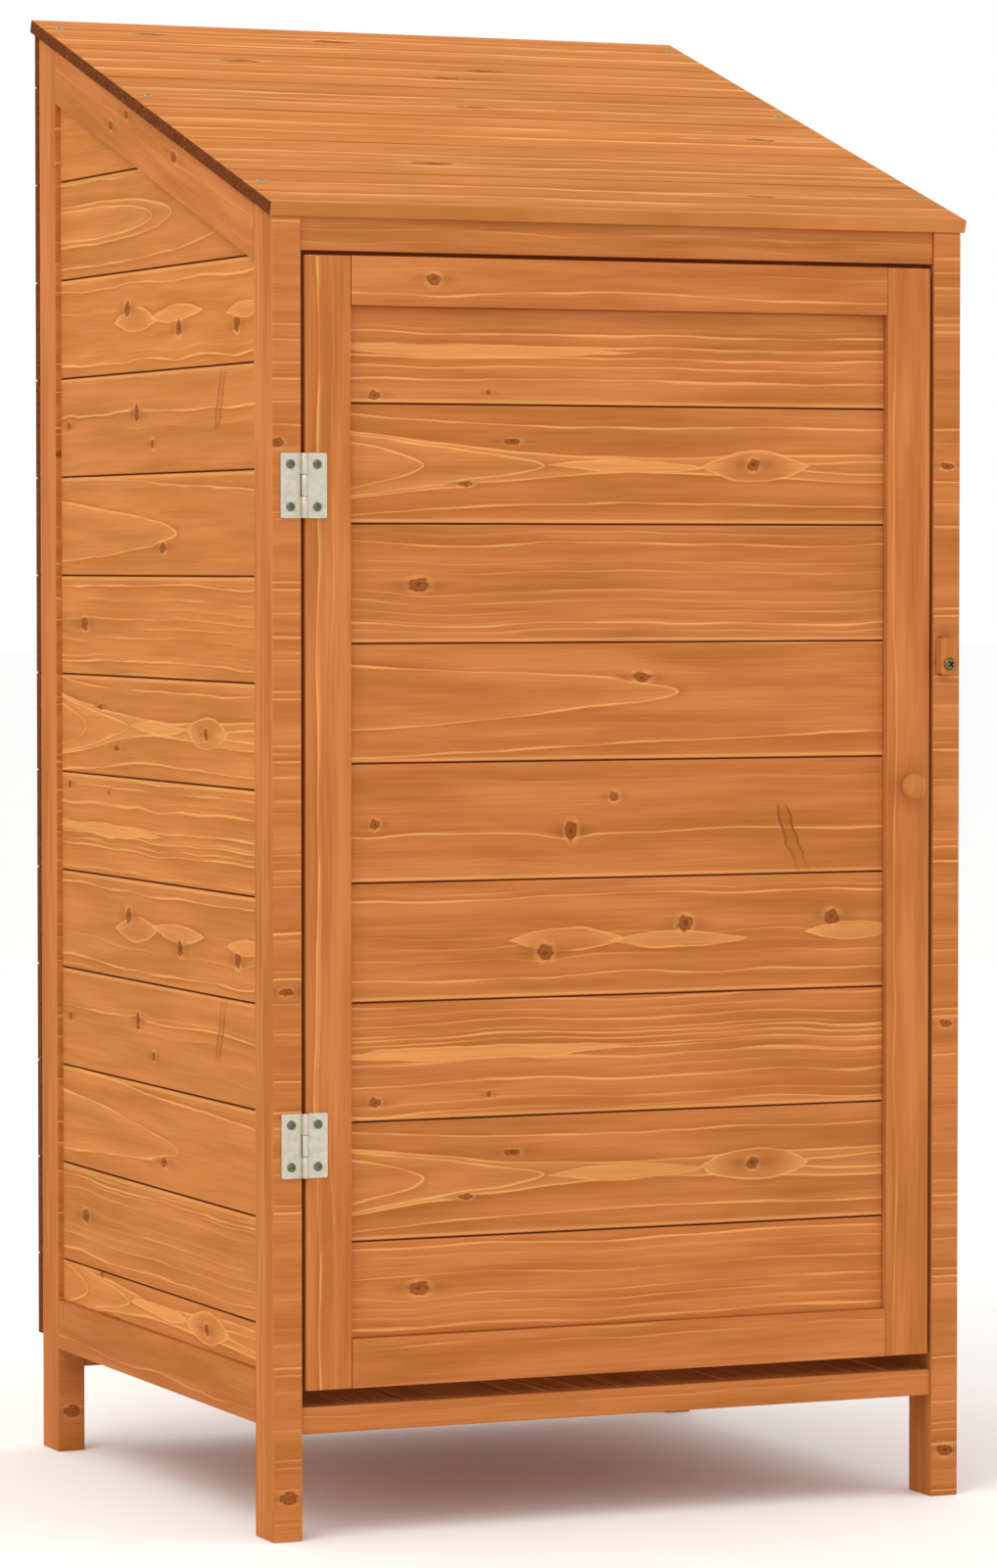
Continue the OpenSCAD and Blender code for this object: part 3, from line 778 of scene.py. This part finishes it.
def screw_head(bm, place, radius, height):
    """A low domed screw head with a cross recess, drawn in shares of its radius and height."""
    before = set(bm.faces)
    arm, slot = 0.55 * radius, 0.16 * radius
    corners = [(slot, slot), (slot, arm), (-slot, arm), (-slot, slot), (-arm, slot), (-arm, -slot),
               (-slot, -slot), (-slot, -arm), (slot, -arm), (slot, -slot), (arm, -slot), (arm, slot)]
    cross = bm.faces.new([bm.verts.new((x, y, height)) for x, y in corners])
    ring = bmesh.ops.create_circle(bm, segments=24, radius=0.8 * radius)["verts"]
    bmesh.ops.translate(bm, vec=(0, 0, height * 0.8), verts=ring)
    rim = parts(ring, "link_edges")
    bmesh.ops.bridge_loops(bm, edges=[*cross.edges, *rim])
    for level in (0.35, 0):
        grown = bmesh.ops.extrude_edge_only(bm, edges=rim)["geom"]
        ring = only(bmesh.types.BMVert, grown)
        for vert in ring:
            vert.co = Vector((vert.co.x, vert.co.y, 0)).normalized() * radius + Z * level * height
        rim = [e for e in only(bmesh.types.BMEdge, grown) if all(v in ring for v in e.verts)]
    bmesh.ops.edgeloop_fill(bm, edges=rim)
    sunk = bmesh.ops.extrude_face_region(bm, geom=[cross])["geom"]
    bmesh.ops.translate(bm, vec=(0, 0, -0.7 * height), verts=only(bmesh.types.BMVert, sunk))
    if cross.is_valid:
        bmesh.ops.delete(bm, geom=[cross], context="FACES_ONLY")
    bmesh.ops.transform(bm, matrix=place, verts=parts(since(bm, before), "verts"))


class SHED_OT_posts(bpy.types.Operator):
    """Four posts that stand under the corners of the roof"""

    bl_idname = "shed.posts"
    bl_label = "Posts"

    def execute(self, context):
        for i, node in enumerate(("front_left_post", "front_right_post", "rear_left_post", "rear_right_post")):
            end, side, _ = node.split("_")
            add_post(f"post_{end}_{side}", node, seed=1.3 + i, front=f"{side}_bands")
        return {"FINISHED"}


class SHED_OT_rails(bpy.types.Operator):
    """Bars between the posts: lintel, sills, bottom rails and rafters"""

    bl_idname = "shed.rails"
    bl_label = "Rails and rafters"

    def execute(self, context):
        point, normal, run = roof_plane()
        # The lintel's tint is set low, so that it is darker as painted shade under the roof's front edge.
        add_bar("lintel_bar", "lintel", X, seed=6.1, cuts=[(point, normal)], tint=-0.3)
        add_bar("sill_rear", "rear_sill", X, seed=6.9)
        self.add_front_sill()
        for i, side in enumerate(("left", "right")):
            add_bar(f"rail_bottom_{side}", f"{side}_bottom_rail", Y, seed=7.3 + i)
            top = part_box(f"{side}_wall_boards")[1]
            cuts = [(point, normal), (Vector((0, top.y, top.z)), -normal)]
            add_bar(f"rafter_{side}_bar", f"{side}_rafter", run, seed=8.2 + i, cuts=cuts, figure="rafter")
        return {"FINISHED"}

    def add_front_sill(self):
        """The sill has a rebate behind its lip, where the floor boards end."""
        low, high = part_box("front_sill")
        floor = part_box("floor_boards")[0]
        outline = [(low.y, low.z), (high.y, low.z), (high.y, floor.z), (floor.y, floor.z), (floor.y, high.z),
                   (low.y, high.z)]
        bm = new_timber()
        faces = prism(bm, [Vector((low.x, y, z)) for y, z in outline], X * (high.x - low.x))
        lay_bar(bm, ease_all(bm, faces), X, seed=6.5)
        make_piece(bm, "sill_front", "shed", "frame_timber", "stained_fir", "front_sill")


class SHED_OT_side_walls(bpy.types.Operator):
    """Boards of the two side walls, cut to the slope under the rafters"""

    bl_idname = "shed.side_walls"
    bl_label = "Side walls"

    def execute(self, context):
        _, normal, _ = roof_plane()
        for side, along, out, names in (("left", -Y, -X, LEFT_WALL), ("right", Y, X, OTHER_WALLS)):
            node = f"{side}_wall_boards"
            low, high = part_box(node)
            origin = Vector((low.x, high.y, 0) if side == "left" else (high.x, low.y, 0))
            rows = spans(low.z, high.z, wall_seams())
            add_boarding(
                f"wall_{side}", node, rows, (origin, along, Z, out), high.y - low.y, high.x - low.x,
                in_turn(names, len(rows)), seed=2.1, cut=(Vector((0, high.y, high.z)), normal), flip=-1,
                pale=WALL_PALE)
        return {"FINISHED"}


class SHED_OT_back_wall(bpy.types.Operator):
    """Boards of the back wall, nailed over the rear posts"""

    bl_idname = "shed.back_wall"
    bl_label = "Back wall"

    def execute(self, context):
        low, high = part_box("back_wall_boards")
        point, normal, _ = roof_plane()
        rows = spans(low.z, high.z, wall_seams())
        run = (Vector((high.x, high.y, 0)), -X, Z, Y)
        add_boarding(
            "wall_back", "back_wall_boards", rows, run, high.x - low.x, high.y - low.y,
            in_turn(OTHER_WALLS, len(rows)), seed=3.4, cut=(point, normal), pale=WALL_PALE)
        return {"FINISHED"}


class SHED_OT_floor(bpy.types.Operator):
    """Floor boards, which run from front to back"""

    bl_idname = "shed.floor"
    bl_label = "Floor"

    def execute(self, context):
        low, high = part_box("floor_boards")
        rows = even_rows(high.x - low.x, context.scene.shed_timber.floor_pitch)
        run = (Vector((low.x, high.y, high.z)), -Y, X, Z)
        add_boarding(
            "floor_boarding", "floor_boards", rows, run, high.y - low.y, high.z - low.z,
            in_turn(FLOOR, len(rows)), seed=4.2)
        return {"FINISHED"}


class SHED_OT_roof(bpy.types.Operator):
    """Roof boards from side to side, and the screws that hold them to the rafters"""

    bl_idname = "shed.roof"
    bl_label = "Roof"

    def execute(self, context):
        low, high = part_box("roof_boards")
        point, normal, run = roof_plane()
        thick, length, origin = self.front_edge(low, high, point, normal, run)
        rows = even_rows(length, context.scene.shed_timber.roof_pitch)
        figures = [
            {**FIGURES["roof"], "knots": knots, "eyes": [(*knots[0][:2], *ROOF_EYE)]} for knots in ROOF_KNOTS]
        # The roof's seams, eased edges included, are darkened as painted shade.
        add_boarding(
            "roof_boarding", "roof_boards", rows, (origin, X, run, normal), high.x - low.x, thick, figures,
            seed=5.6, pale=WALL_PALE, dark_edge=True)
        self.add_screws(context, origin, run, normal, length)
        return {"FINISHED"}

    def front_edge(self, low, high, point, normal, run):
        """Thickness, length and front top corner of a sloping slab from its box and the plane under it."""
        bottom_rear = point + run * ((high.y - point.y) / run.y)
        thick = (high.z - bottom_rear.z) / normal.z
        top_rear = bottom_rear + normal * thick
        length = (top_rear.y - low.y) / run.y
        return thick, length, Vector((low.x, 0, 0)) + top_rear - run * length

    def add_screws(self, context, origin, run, normal, length):
        """Three screws over each rafter, each with its recess turned another way."""
        radius = context.scene.shed_fittings.roof_screw_head / 2
        bm = bmesh.new()
        for side in ("left", "right"):
            low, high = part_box(f"{side}_rafter")
            for i, share in enumerate(ROOF_SCREWS):
                spot = Vector(((low.x + high.x) / 2, origin.y, origin.z)) + run * length * share
                screw_head(bm, facing(spot, normal, 0.5 + i), radius, ROOF_SCREW_RISE)
        make_piece(bm, "roof_screws", "shed", "hinge_zinc", "yellow_zinc")


class SHED_OT_door_frame(bpy.types.Operator):
    """Stiles and rails of the door"""

    bl_idname = "shed.door_frame"
    bl_label = "Door frame"

    def execute(self, context):
        add_bar("stile_hinge_side", "door_hinge_stile", Z, seed=10.2, body="door", figure="hinge_stile")
        add_bar("stile_latch_side", "door_latch_stile", Z, seed=11.7, body="door")
        add_bar("door_rail_upper", "door_top_rail", X, seed=12.4, body="door", figure="top_rail")
        add_bar("door_rail_lower", "door_bottom_rail", X, seed=13.9, body="door")
        return {"FINISHED"}


class SHED_OT_door_boards(bpy.types.Operator):
    """Boards of the door, set back in its frame"""

    bl_idname = "shed.door_boards"
    bl_label = "Door boards"

    def execute(self, context):
        low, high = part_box("door_boards")
        pitch = context.scene.shed_timber.door_pitch
        count = int((high.z - low.z) / pitch)
        first = low.z + (high.z - low.z - (count - 1) * pitch) / 2
        rows = spans(low.z, high.z, [first + pitch * i for i in range(count)])
        run = (Vector((low.x, low.y, 0)), X, Z, -Y)
        add_boarding(
            "door_panel", "door_boards", rows, run, high.x - low.x, high.y - low.y, in_turn(DOOR, len(rows)),
            seed=1.0, body="door")
        return {"FINISHED"}


class SHED_OT_hinges(bpy.types.Operator):
    """Two butt hinges with their pins and screws"""

    bl_idname = "shed.hinges"
    bl_label = "Hinges"

    def execute(self, context):
        for level in ("upper", "lower"):
            self.add_leaf(context, level, "post", "shed", -1, (0, 2))
            self.add_leaf(context, level, "door", "door", 1, (1,))
            self.add_pin(level)
        return {"FINISHED"}

    def add_leaf(self, context, level, side, body, way, knuckles):
        """A leaf with eased edges, its knuckles round the pin, and two screws. The way is 1 to the right."""
        node = f"{level}_hinge_{side}_leaf"
        low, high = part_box(node)
        pin_low, pin_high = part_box(f"{level}_hinge_pin")
        axis = (pin_low + pin_high) / 2
        radius, third = (high.y - low.y) / 2, (high.z - low.z) / 3
        front = high.y - radius / 2
        near = axis.x + way * radius * 1.125
        edge = high.x if way > 0 else low.x
        bm = bmesh.new()

        def plate(one, other, foot, top):
            return block(bm, (min(one, other), front, foot), (max(one, other), high.y, top))

        faces = plate(near, edge, low.z, high.z)
        corners = [e for e in through_edges(faces) if abs(e.verts[0].co.x - edge) < 1e-6]
        faces = ease(bm, faces, corners, LEAF_CORNER)
        ease(bm, faces, outer_edges(faces), LEAF_EDGE)
        for i in knuckles:
            foot, top = low.z + third * i + KNUCKLE_GAP, low.z + third * (i + 1) - KNUCKLE_GAP
            barrel(bm, radius, top - foot, KNUCKLE_RIM, (axis.x, axis.y, foot), steps=24)
            tab = plate(axis.x, near, foot, top)
            ease(bm, tab, outer_edges(tab), TAB_EDGE)
        make_piece(bm, f"hinge_{level}_{side}_leaf", body, "hinge_zinc", "zinc_plate", node)
        heads = bmesh.new()
        head = context.scene.shed_fittings.screw_head / 2
        for i, z in enumerate((low.z + LEAF_SCREW, high.z - LEAF_SCREW)):
            spot = Vector(((near + edge) / 2, front, z))
            screw_head(heads, facing(spot, -Y, 0.4 + i + (way > 0)), head, HINGE_SCREW_RISE)
        make_piece(heads, f"hinge_{level}_{side}_screws", body, "hinge_zinc", "green_zinc")

    def add_pin(self, level):
        """The pin shows only as a small crowned end above and below the knuckles."""
        node = f"{level}_hinge_pin"
        low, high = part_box(node)
        radius, middle = (high.x - low.x) / 2, (low + high) / 2
        bm = bmesh.new()
        barrel(bm, radius, high.z - low.z, radius * 0.3, (middle.x, middle.y, low.z), steps=20)
        make_piece(bm, f"hinge_{level}_pin", "shed", "hinge_zinc", "zinc_plate", node)


class SHED_OT_turn_button(bpy.types.Operator):
    """Wooden turn button that holds the door shut, with its screw"""

    bl_idname = "shed.turn_button"
    bl_label = "Turn button"

    def execute(self, context):
        low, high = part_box("turn_button")
        front = low.y
        bm = new_timber()
        faces = block(bm, low, high)
        faces = ease(bm, faces, through_edges(faces), BUTTON_CORNER)
        faces = ease(bm, faces, outer_edges(faces), BUTTON_EDGE)
        lay_bar(bm, faces, Z, seed=14.6)
        make_piece(bm, "turn_button_block", "turn_button", "frame_timber", "stained_fir", "turn_button")
        low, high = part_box("turn_button_screw")
        spot = Vector(((low.x + high.x) / 2, front, (low.z + high.z) / 2))
        tip = front - high.y
        heads = bmesh.new()
        screw_head(heads, facing(spot, -Y, 0.6), (high.x - low.x) / 2, front - low.y)
        shank = [(0, SHANK_TOP), (SHANK_RADIUS, SHANK_TOP), (SHANK_RADIUS, tip), (0, tip)]
        round_solid(heads, shank, facing(spot, -Y), steps=16)
        make_piece(heads, "turn_button_pivot", "shed", "screw_brown", "brown_zinc", "turn_button_screw")
        return {"FINISHED"}


class SHED_OT_door_knob(bpy.types.Operator):
    """Turned wooden knob of the door"""

    bl_idname = "shed.door_knob"
    bl_label = "Door knob"

    def execute(self, context):
        low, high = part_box("door_knob")
        radius, tall = (high.x - low.x) / 2, high.y - low.y
        profile = [(0, 1.0), (0.3, 0.99), (0.55, 0.955), (0.78, 0.88), (0.93, 0.77), (1.0, 0.64), (0.96, 0.5),
                   (0.8, 0.38), (0.6, 0.28), (0.52, 0.16), (0.54, 0.0), (0, 0)]
        bm = new_timber()
        spot = Vector(((low.x + high.x) / 2, high.y, (low.z + high.z) / 2))
        for face in round_solid(bm, [(r * radius, h * tall) for r, h in profile], facing(spot, -Y), steps=40):
            lay_figure(bm, face, FIGURES["bar"], 15.3, (spot - Z * radius, Z, X, -Y), tint=-0.3)
        make_piece(bm, "knob_turned", "door", "frame_timber", "stained_fir", "door_knob")
        return {"FINISHED"}


class SHED_OT_stage(bpy.types.Operator):
    """Pale floor, soft light and the camera"""

    bl_idname = "shed.stage"
    bl_label = "Stage"

    def execute(self, context):
        scene, stage = context.scene, context.scene.shed_stage
        bm = bmesh.new()
        bmesh.ops.create_grid(bm, x_segments=4, y_segments=4, size=40)
        mesh = bpy.data.meshes.new("pale_floor")
        bm.to_mesh(mesh)
        bm.free()
        mesh.materials.append(matt_paint("floor_paint", stage.floor))
        floor = bpy.data.objects.new("pale_floor", mesh)
        scene.collection.objects.link(floor)

        world = bpy.data.worlds.new("studio")
        world.use_nodes = True
        world.node_tree.nodes.clear()
        sky = put(world.node_tree, "Background", (1, 1, 1, 1), stage.sky)
        put(world.node_tree, "OutputWorld", sky)
        scene.world = world
        self.add_lamp(scene, "key", "AREA", stage.key, (-2.2, -1.6, 3.8), color=stage.key_colour, size=2.5)
        self.add_lamp(scene, "fill", "AREA", stage.fill, (2.6, -2.2, 1.6), size=2.0)
        bulb = self.add_lamp(scene, "inside", "POINT", stage.inside, MIDDLE, shadow_soft_size=0.1)
        bulb.visible_camera = False

        lens = bpy.data.cameras.new("camera")
        lens.lens, lens.sensor_width, lens.clip_end = stage.lens, 36, 200
        camera = bpy.data.objects.new("camera", lens)
        camera.location = stage.place
        camera.rotation_euler = (math.pi / 2 + stage.pitch, 0, -stage.yaw)
        scene.collection.objects.link(camera)
        scene.camera = camera
        scene.view_settings.view_transform = "Standard"
        return {"FINISHED"}

    def add_lamp(self, scene, name, kind, power, place, **settings):
        """A lamp that looks at the middle of the shed."""
        lamp = bpy.data.lights.new(name, kind)
        lamp.energy = power
        for setting, value in settings.items():
            setattr(lamp, setting, value)
        lit = bpy.data.objects.new(name, lamp)
        lit.location = place
        lit.rotation_euler = (MIDDLE - Vector(place)).to_track_quat("-Z", "Y").to_euler()
        scene.collection.objects.link(lit)
        return lit


class SHED_PT_panel(bpy.types.Panel):
    """Lists the pieces of the shed and their settings"""

    bl_idname = "SHED_PT_panel"
    bl_label = "Garden shed"
    bl_space_type = "VIEW_3D"
    bl_region_type = "UI"
    bl_category = "Shed"

    def draw(self, context):
        for operator in OPERATORS:
            self.layout.operator(operator.bl_idname)
        for group in GROUPS:
            settings = getattr(context.scene, group)
            box = self.layout.box()
            for name in settings.__annotations__:
                box.prop(settings, name)


GROUPS = {"shed_timber": ShedTimber, "shed_fittings": ShedFittings, "shed_stage": ShedStage}
OPERATORS = (
    SHED_OT_posts, SHED_OT_rails, SHED_OT_side_walls, SHED_OT_back_wall, SHED_OT_floor, SHED_OT_roof,
    SHED_OT_door_frame, SHED_OT_door_boards, SHED_OT_hinges, SHED_OT_turn_button, SHED_OT_door_knob, SHED_OT_stage,
)


def register():
    for name, group in GROUPS.items():
        bpy.utils.register_class(group)
        setattr(bpy.types.Scene, name, PointerProperty(type=group))
    for cls in (*OPERATORS, SHED_PT_panel):
        bpy.utils.register_class(cls)


def unregister():
    for cls in (SHED_PT_panel, *reversed(OPERATORS)):
        bpy.utils.unregister_class(cls)
    for name, group in GROUPS.items():
        delattr(bpy.types.Scene, name)
        bpy.utils.unregister_class(group)


def main():
    register()
    bpy.ops.shed.posts()
    bpy.ops.shed.rails()
    bpy.ops.shed.side_walls()
    bpy.ops.shed.back_wall()
    bpy.ops.shed.floor()
    bpy.ops.shed.roof()
    bpy.ops.shed.door_frame()
    bpy.ops.shed.door_boards()
    bpy.ops.shed.hinges()
    bpy.ops.shed.turn_button()
    bpy.ops.shed.door_knob()
    bpy.ops.shed.stage()


if __name__ == "__main__":
    main()
